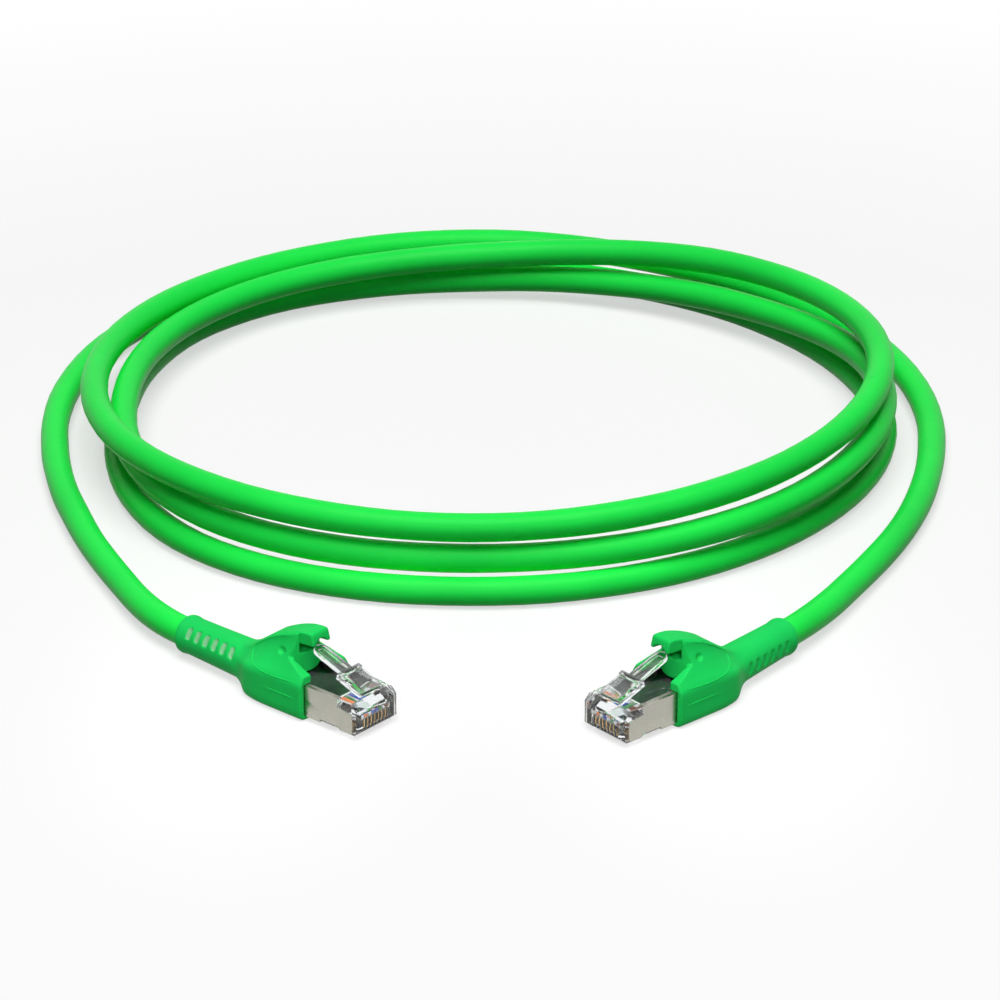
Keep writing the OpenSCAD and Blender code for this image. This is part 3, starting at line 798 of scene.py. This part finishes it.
def make_boot():
    """One boot with a straight neck, in the plug's frame."""
    end = BOOT_L + NECK_L
    marks = [0, 0.15, 0.4, 0.8] + [1.2 + 0.6 * i for i in range(58)]
    marks = sorted({round(m, 2) for m in marks + [end - d for d in (1.6, 1.3, 1.0, 0.5, 0.15, 0)]})
    rings = []
    for u in marks:
        ring = boot_ring(u)
        pinch = 1.0
        if u < 0.4:
            pinch = 1 - 0.3 * (1 - math.sqrt(1 - (1 - u / 0.4) ** 2)) / 8
        if u > end - 0.4:
            pinch = 1 - 0.06 * ((u - end + 0.4) / 0.4) ** 2
        rings.append([(x, y * pinch, AXIS_Z + (z - AXIS_Z) * pinch) for x, y, z in ring])
    boot = grow_rings("boot", rings)
    settings = bpy.context.scene.patch_cable
    gap = 0.16
    opening = box("opening", (-9.7, -3.9, PLUG_TOP - 0.3), (1.5, 3.9, WEB_TOP + 0.1))
    notch = plate("notch", NOTCH, 30)
    for cutter in (opening, notch):
        clear_selection()
        bpy.ops.mesh.primitive_cylinder_add(
            vertices=96, radius=NOSE_R * MM, depth=30 * MM, location=((-3.5 - NOSE_R) * MM, 0, 10 * MM))
        cut_away(cutter, new_piece("nose"))
    slit = plate("slit", [(-15.4, 10.15), (-13.6, 10.15), (-11, WEB_TOP - 0.7), (-8.2, WEB_TOP), (1.5, WEB_TOP),
                          (1.5, 18.6), (-15.4, 18.6)], 2 * SLIT_HALF)
    cutters = [
        box("pocket", (-8.5, -PLUG_W / 2 - gap, 1.0 - 0.06), (1, PLUG_W / 2 + gap, PLUG_TOP + 0.15)),
        rod("crimp_room", 7.3, -14.6, -8.0),
        rod("bore", CORD_D - 0.05, -end - 1, -9, sides=48),
        opening, slit, notch,
    ]
    for s in (-1, 1):
        cutters.append(ball("dimple", (-7.6, s * (flank_y(7.6, 12.3) + 0.2), 12.3), (1.0, 0.8, 0.75)))
    cut_away(boot, *cutters)
    width = settings.groove_width / MM
    for u in groove_places():
        r = curve_through(NECK_R, u)
        for s in (-1, 1):
            groove = box("groove", (-u - width / 2, s * (r + 0.5) - 1.0, AXIS_Z - 1.35),
                         (-u + width / 2, s * (r + 0.5) + 1.0, AXIS_Z + 1.35))
            apply_modifier(groove, "BEVEL", width=0.4 * MM, segments=3, limit_method="ANGLE")
            cut_away(boot, groove)
    voxel = 0.21
    apply_modifier(boot, "REMESH", mode="VOXEL", voxel_size=voxel * MM, use_smooth_shade=True)
    apply_modifier(boot, "SMOOTH", factor=0.5, iterations=3)
    lines = [ridge("line", points, s) for s in (-1, 1) for points in (PANEL_LINE, SIDE_LINE)]
    return boot, lines


def mark_grooves(obj):
    """Gives the bottoms of the grooves the second finish, a painted highlight, while the neck is still straight.
    """
    places = groove_places()
    half = bpy.context.scene.patch_cable.groove_width / MM / 2
    for face in obj.data.polygons:
        x, y, z = face.center / MM
        if x > -BOOT_L or abs(z - AXIS_Z) > 1.2:
            continue
        deep = math.hypot(y, z - AXIS_Z) < curve_through(NECK_R, -x) - 0.16
        outside = math.hypot(y, z - AXIS_Z) > CORD_D / 2 + 0.2
        if deep and outside and min(abs(x + u) for u in places) < half:
            face.material_index = 1


def bend_neck(obj, bend, roll):
    """Bends the neck aside on a smooth arc about the body's end, and rolls its far stretch."""
    bend, roll = math.radians(bend), math.radians(roll)
    reach = 3.2
    for vertex in obj.data.vertices:
        x, y, z = vertex.co / MM
        u = -x
        if u <= BOOT_L - reach:
            continue
        turn = -roll * ease((u - 19) / 3.5)
        if turn:
            dy, dz = y, z - AXIS_Z
            y = dy * math.cos(turn) - dz * math.sin(turn)
            z = AXIS_Z + dy * math.sin(turn) + dz * math.cos(turn)
        s = u - (BOOT_L - reach)
        if abs(bend) > 1e-6:
            arc = 2 * reach
            share = min(s, arc)
            rate = bend / arc
            angle = rate * share
            cx = -(BOOT_L - reach) - math.sin(angle) / rate
            cy = -(1 - math.cos(angle)) / rate
            if s > arc:
                cx -= (s - arc) * math.cos(bend)
                cy -= (s - arc) * math.sin(bend)
            x = cx - y * math.sin(angle)
            y = cy + y * math.cos(angle)
        vertex.co = Vector((x, y, z)) * MM


# ---------------------------------------------------------------- the stage
# The camera's points are in millimetres, the lamps' in metres.

CAMERA_AT, CAMERA_AIM = (2.7, -949.75, 486.01), (2.7, 92.5, 0)
KEY_AT, KEY_AIM, KEY_SIZE = (0, -0.3, 1.6), (0, 0.09, 0), 1.3
FRONT_AT, FRONT_AIM, FRONT_SIZE = (0.0, -1.4, 0.6), (0, 0.05, 0), 0.8
FRONT_SHARE = 0.06
PLUG_LAMP_X = 0.045
FLOOR_GLOW_NEAR = 0.6


def hang(name, data, place, aim):
    """Hangs a lamp or a camera at a place, turned to what it points at."""
    obj = bpy.data.objects.new(name, data)
    bpy.context.scene.collection.objects.link(obj)
    obj.location = place
    obj.rotation_euler = (Vector(aim) - Vector(place)).to_track_quat("-Z", "Y").to_euler()
    return obj


def hang_disc(name, place, aim, size, power):
    """Hangs a round area lamp."""
    data = bpy.data.lights.new(name, "AREA")
    data.shape = "DISK"
    data.size = size
    data.energy = power
    return hang(name, data, place, aim)


# ---------------------------------------------------------------- operators


class PATCHCABLE_OT_camera(bpy.types.Operator):
    """Set up the camera"""
    bl_idname = "patchcable.camera"
    bl_label = "Camera"

    def execute(self, context):
        data = bpy.data.cameras.new("camera")
        data.lens = context.scene.patch_stage.lens
        data.sensor_width = 36
        data.clip_end = 20
        context.scene.camera = hang("camera", data, Vector(CAMERA_AT) * MM, Vector(CAMERA_AIM) * MM)
        return {"FINISHED"}


class PATCHCABLE_OT_cable(bpy.types.Operator):
    """Lay the cable: two free ends and the coil, as one round cord"""
    bl_idname = "patchcable.cable"
    bl_label = "Cable"

    def execute(self, context):
        settings = context.scene.patch_cable
        path = cable_route(settings.turn_steps)
        data = bpy.data.curves.new("cable", "CURVE")
        data.dimensions = "3D"
        line = data.splines.new("POLY")
        line.points.add(len(path) - 1)
        run = 0.0
        for i, place in enumerate(path):
            if i:
                run += (place - path[i - 1]).length
            line.points[i].co = (*(place * MM), 1)
            swell = math.sin(run * 0.21) * 0.6 + math.sin(run * 0.083 + 1.0) * 0.4
            line.points[i].radius = 1 + settings.unevenness * swell
        line.use_smooth = True
        data.bevel_depth = CORD_D / 2 * MM
        data.bevel_resolution = 6
        obj = bpy.data.objects.new("cable", data)
        context.scene.collection.objects.link(obj)
        obj.data.materials.append(finish("green_jacket"))
        length = sum((b - a).length for a, b in zip(path, path[1:])) * MM
        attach(obj, "cable")
        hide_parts("cable_coil", "cable_tail_a", "cable_tail_b")
        tuple(path[0] * MM)
        return {"FINISHED"}


class PATCHCABLE_OT_boots(bpy.types.Operator):
    """Model the boots with their hoods, necks and grooves"""
    bl_idname = "patchcable.boots"
    bl_label = "Boots"

    def execute(self, context):
        boot, lines = make_boot()
        first = join("boot_skin_a", boot, *lines)
        paint(first, "moulded_green", "groove_painted_highlight")
        mark_grooves(first)
        pieces = {"a": first, "b": twin(first, "boot_skin_b")}
        # Boot B's grooves keep the plain boot finish, so the painted highlight is on boot A's grooves only.
        pieces["b"].data.materials[1] = finish("moulded_green")
        for side, piece in pieces.items():
            place = PLUGS[side]
            bend_neck(piece, place["bend"], place["roll"])
            smooth(piece, 50)
            settle(piece, side, "cable", "boot_green", "boot_" + side)
        return {"FINISHED"}


class PATCHCABLE_OT_tabs(bpy.types.Operator):
    """Model the press tabs in the crowns of the hoods"""
    bl_idname = "patchcable.tabs"
    bl_label = "Press tabs"

    def execute(self, context):
        top = [(-u, curve_through(CROWN, u) + 0.02)
               for u in (15.1, 14, 13, 12, 11, 10, 9, 8, 7, 6, 5, 4, 3.2, 2.5, 1.9, 1.5)]
        front = [(-1.2, 16.86), (-0.98, 16.5), (-0.72, 15.6), (-0.5, 14.7), (-0.52, 14.46)]
        under = [(-2.0, 14.3), (-4.6, 14.12), (-5.8, 14.6), (-7, 14.45), (-9, 13.7),
                 (-11, 12.65), (-13, 11.3), (-14.2, 10.45), (-14.9, 10.45), (-15.2, 10.9)]
        tab = plate("press_tab_skin_a", [*top, *front, *under], 2 * 2.46)
        apply_modifier(tab, "BEVEL", width=0.22 * MM, segments=3, limit_method="ANGLE",
                       angle_limit=math.radians(50))
        cut_away(tab, rod("arch", 3.8, -5.7, 0, z=13.66, sides=40),
                 box("room", (-5.7, -1.9, 12), (0, 1.9, 13.66)))
        voxel = 0.17
        apply_modifier(tab, "REMESH", mode="VOXEL", voxel_size=voxel * MM, use_smooth_shade=True)
        apply_modifier(tab, "SMOOTH", factor=0.5, iterations=2)
        pieces = {"a": tab, "b": twin(tab, "press_tab_skin_b")}
        for side, piece in pieces.items():
            smooth(piece, 50)
            paint(piece, "moulded_green")
            settle(piece, side, "press_tab_" + side, "boot_green", "press_tab_" + side)
        return {"FINISHED"}


class PATCHCABLE_OT_shields(bpy.types.Operator):
    """Ease the edges of the shields and plate them"""
    bl_idname = "patchcable.shields"
    bl_label = "Shields"

    def execute(self, context):
        for side in PLUGS:
            piece = refined("shield_" + side, "shield_skin_" + side, 0.09)
            paint(piece, "plated_nickel")
            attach(piece, "cable")
            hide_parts("shield_" + side)
        return {"FINISHED"}


class PATCHCABLE_OT_bodies(bpy.types.Operator):
    """Ease the edges of the clear bodies"""
    bl_idname = "patchcable.bodies"
    bl_label = "Clear bodies"

    def execute(self, context):
        edge = context.scene.patch_plug.edge / MM
        for side in PLUGS:
            piece = refined("housing_" + side, "body_skin_" + side, edge)
            paint(piece, "clear_body")
            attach(piece, "cable")
            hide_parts("housing_" + side)
        return {"FINISHED"}


class PATCHCABLE_OT_latches(bpy.types.Operator):
    """Ease the edges of the clear latches"""
    bl_idname = "patchcable.latches"
    bl_label = "Latches"

    def execute(self, context):
        for side in PLUGS:
            piece = refined("latch_" + side, "latch_skin_" + side, 0.12)
            paint(piece, "clear_body")
            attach(piece, "latch_" + side)
            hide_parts("latch_" + side)
        return {"FINISHED"}


class PATCHCABLE_OT_contacts(bpy.types.Operator):
    """Ease and plate the eight contacts of each plug"""
    bl_idname = "patchcable.contacts"
    bl_label = "Contacts"

    def execute(self, context):
        for side in PLUGS:
            piece = refined("contacts_" + side, "contact_skin_" + side, 0.06)
            paint(piece, "plated_gold")
            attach(piece, "cable")
            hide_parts("contacts_" + side)
        return {"FINISHED"}


class PATCHCABLE_OT_wires(bpy.types.Operator):
    """Lay the eight conductors of each plug in their own colours"""
    bl_idname = "patchcable.wires"
    bl_label = "Conductors"

    def execute(self, context):
        foil_x, guide_x, blade_x, wire_end = -6.6, -1.0, 5.0, 12.95
        pair_r = 1.78 / math.sqrt(2)
        wire_sides = 14
        pairs = {
            "orange": ((0, 1), (-1, 0)), "green": ((2, 5), (0, 1)),
            "blue": ((3, 4), (0, -1)), "brown": ((6, 7), (1, 0)),
        }
        for side in PLUGS:
            for pair, (pins, way) in pairs.items():
                for k, pin in enumerate(pins):
                    y0 = way[0] * pair_r + (k - 0.5) * (WIRE_D + 0.2)
                    z0 = AXIS_Z + way[1] * pair_r
                    y1 = (pin - 3.5) * PIN_PITCH
                    path = through([Vector(p) for p in (
                        (foil_x, y0, z0), (foil_x + 1.2, y0, z0), (guide_x - 1.2, y1, WIRE_Z),
                        (guide_x, y1, WIRE_Z), (blade_x, y1, WIRE_Z), (wire_end, y1, WIRE_Z))], 0.7)
                    striped = pin in (0, 2, 4, 6)
                    name = ("white_" if striped else "") + pair
                    ring = []
                    for i, place in enumerate(path):
                        ahead = path[min(i + 1, len(path) - 1)] - path[max(i - 1, 0)]
                        turn = ahead.to_track_quat("X", "Z").to_matrix()
                        ring.append([place + turn @ Vector((0, WIRE_D / 2 * math.cos(a), WIRE_D / 2 * math.sin(a)))
                                     for a in (2 * math.pi * j / wire_sides for j in range(wire_sides))])
                    wire = smooth(grow_rings("%s_wire_%s" % (name, side), ring), 60)
                    paint(wire, name + "_skin")
                    settle(wire, side, "cable", pair + "_insulation", pair + "_wires_" + side)
        return {"FINISHED"}


class PATCHCABLE_OT_inner(bpy.types.Operator):
    """Give the guides, foils, braids and jacket ends their finishes"""
    bl_idname = "patchcable.inner"
    bl_label = "Inner pieces"

    def execute(self, context):
        finishes = {
            "wire_guide": "black_guide", "pair_foils": "crumpled_foil", "braid": "tinned_braid",
            "braid_fold": "tinned_braid", "jacket_end": "green_jacket",
        }
        for side in PLUGS:
            for node, name in finishes.items():
                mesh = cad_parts[node + "_" + side].data
                for i in range(len(mesh.materials)):
                    mesh.materials[i] = finish(name)
        return {"FINISHED"}


class PATCHCABLE_OT_stage(bpy.types.Operator):
    """Lay the floor and hang the lights"""
    bl_idname = "patchcable.stage"
    bl_label = "Stage"

    def execute(self, context):
        settings = context.scene.patch_stage
        clear_selection()
        bpy.ops.mesh.primitive_plane_add(size=8, location=(0, 0.1, 0))
        floor = new_piece("floor")
        p = Paint(bpy.data.materials.new("floor_white"))
        matt = p.node("ShaderNodeBsdfDiffuse", None, {"Color": (0.97, 0.97, 0.97, 1)})
        glow = p.node("ShaderNodeEmission", None, {"Color": (1, 1, 1, 1), "Strength": 1.0})
        dull = p.node("ShaderNodeBsdfDiffuse", None, {"Color": (0.10, 0.10, 0.10, 1)})
        away = p.node("ShaderNodeVectorMath", {"operation": "LENGTH"},
                      {0: p.node("ShaderNodeTexCoord", out="Object")}, out=1)
        share = p.ramp(away * 1.6, (0.38, (FLOOR_GLOW_NEAR,) * 3), (0.66, (1, 1, 1)))
        white = p.node("ShaderNodeMixShader", None, {0: share, 1: matt, 2: glow})
        shader = p.node("ShaderNodeMixShader", None, {0: p.seen(), 1: dull, 2: white})
        floor.data.materials.append(p.finish(shader))

        context.scene.world = bpy.data.worlds.new("studio")
        p = Paint(context.scene.world)
        strength = p.seen() * (1.0 - settings.fill) + settings.fill
        glow = p.node("ShaderNodeBackground", None, {"Color": (1, 1, 1, 1), "Strength": strength})
        p.node("ShaderNodeOutputWorld", None, {"Surface": glow})

        hang_disc("key", KEY_AT, KEY_AIM, KEY_SIZE, settings.key_power)
        hang_disc("front", FRONT_AT, FRONT_AIM, FRONT_SIZE, settings.key_power * FRONT_SHARE)
        for x in (-PLUG_LAMP_X, PLUG_LAMP_X):
            spot = bpy.data.lights.new("plug_lamp", "SPOT")
            spot.energy = settings.plug_power
            spot.spot_size = math.radians(6)
            spot.spot_blend = 0.9
            spot.shadow_soft_size = 0.035
            hang("plug_lamp", spot, (x * 2.5, -0.55, 0.4), (x, -0.004, 0.006))
        context.scene.view_settings.view_transform = "Standard"
        return {"FINISHED"}


class PATCHCABLE_PT_panel(bpy.types.Panel):
    """Lists the settings and the steps"""
    bl_idname = "PATCHCABLE_PT_panel"
    bl_label = "Patch Cable"
    bl_space_type = "VIEW_3D"
    bl_region_type = "UI"
    bl_category = "Patch Cable"

    def draw(self, context):
        layout = self.layout
        for group in (context.scene.patch_cable, context.scene.patch_plug, context.scene.patch_stage):
            column = layout.column(align=True)
            for key in group.bl_rna.properties.keys():
                if key not in {"rna_type", "name"}:
                    column.prop(group, key)
        column = layout.column(align=True)
        for step in STEPS:
            column.operator(step.bl_idname)


STEPS = (
    PATCHCABLE_OT_camera, PATCHCABLE_OT_cable, PATCHCABLE_OT_boots, PATCHCABLE_OT_tabs, PATCHCABLE_OT_shields,
    PATCHCABLE_OT_bodies, PATCHCABLE_OT_latches, PATCHCABLE_OT_contacts, PATCHCABLE_OT_wires,
    PATCHCABLE_OT_inner, PATCHCABLE_OT_stage,
)
CLASSES = (PatchCableSettings, PlugSettings, StageSettings, *STEPS, PATCHCABLE_PT_panel)


def register():
    for cls in CLASSES:
        bpy.utils.register_class(cls)
    bpy.types.Scene.patch_cable = PointerProperty(type=PatchCableSettings)
    bpy.types.Scene.patch_plug = PointerProperty(type=PlugSettings)
    bpy.types.Scene.patch_stage = PointerProperty(type=StageSettings)


def unregister():
    del bpy.types.Scene.patch_stage
    del bpy.types.Scene.patch_plug
    del bpy.types.Scene.patch_cable
    for cls in reversed(CLASSES):
        bpy.utils.unregister_class(cls)


def main():
    register()
    ops = bpy.ops.patchcable
    for step in (ops.camera, ops.cable, ops.boots, ops.tabs, ops.shields, ops.bodies, ops.latches,
                 ops.contacts, ops.wires, ops.inner, ops.stage):
        step()


if __name__ == "__main__":
    main()
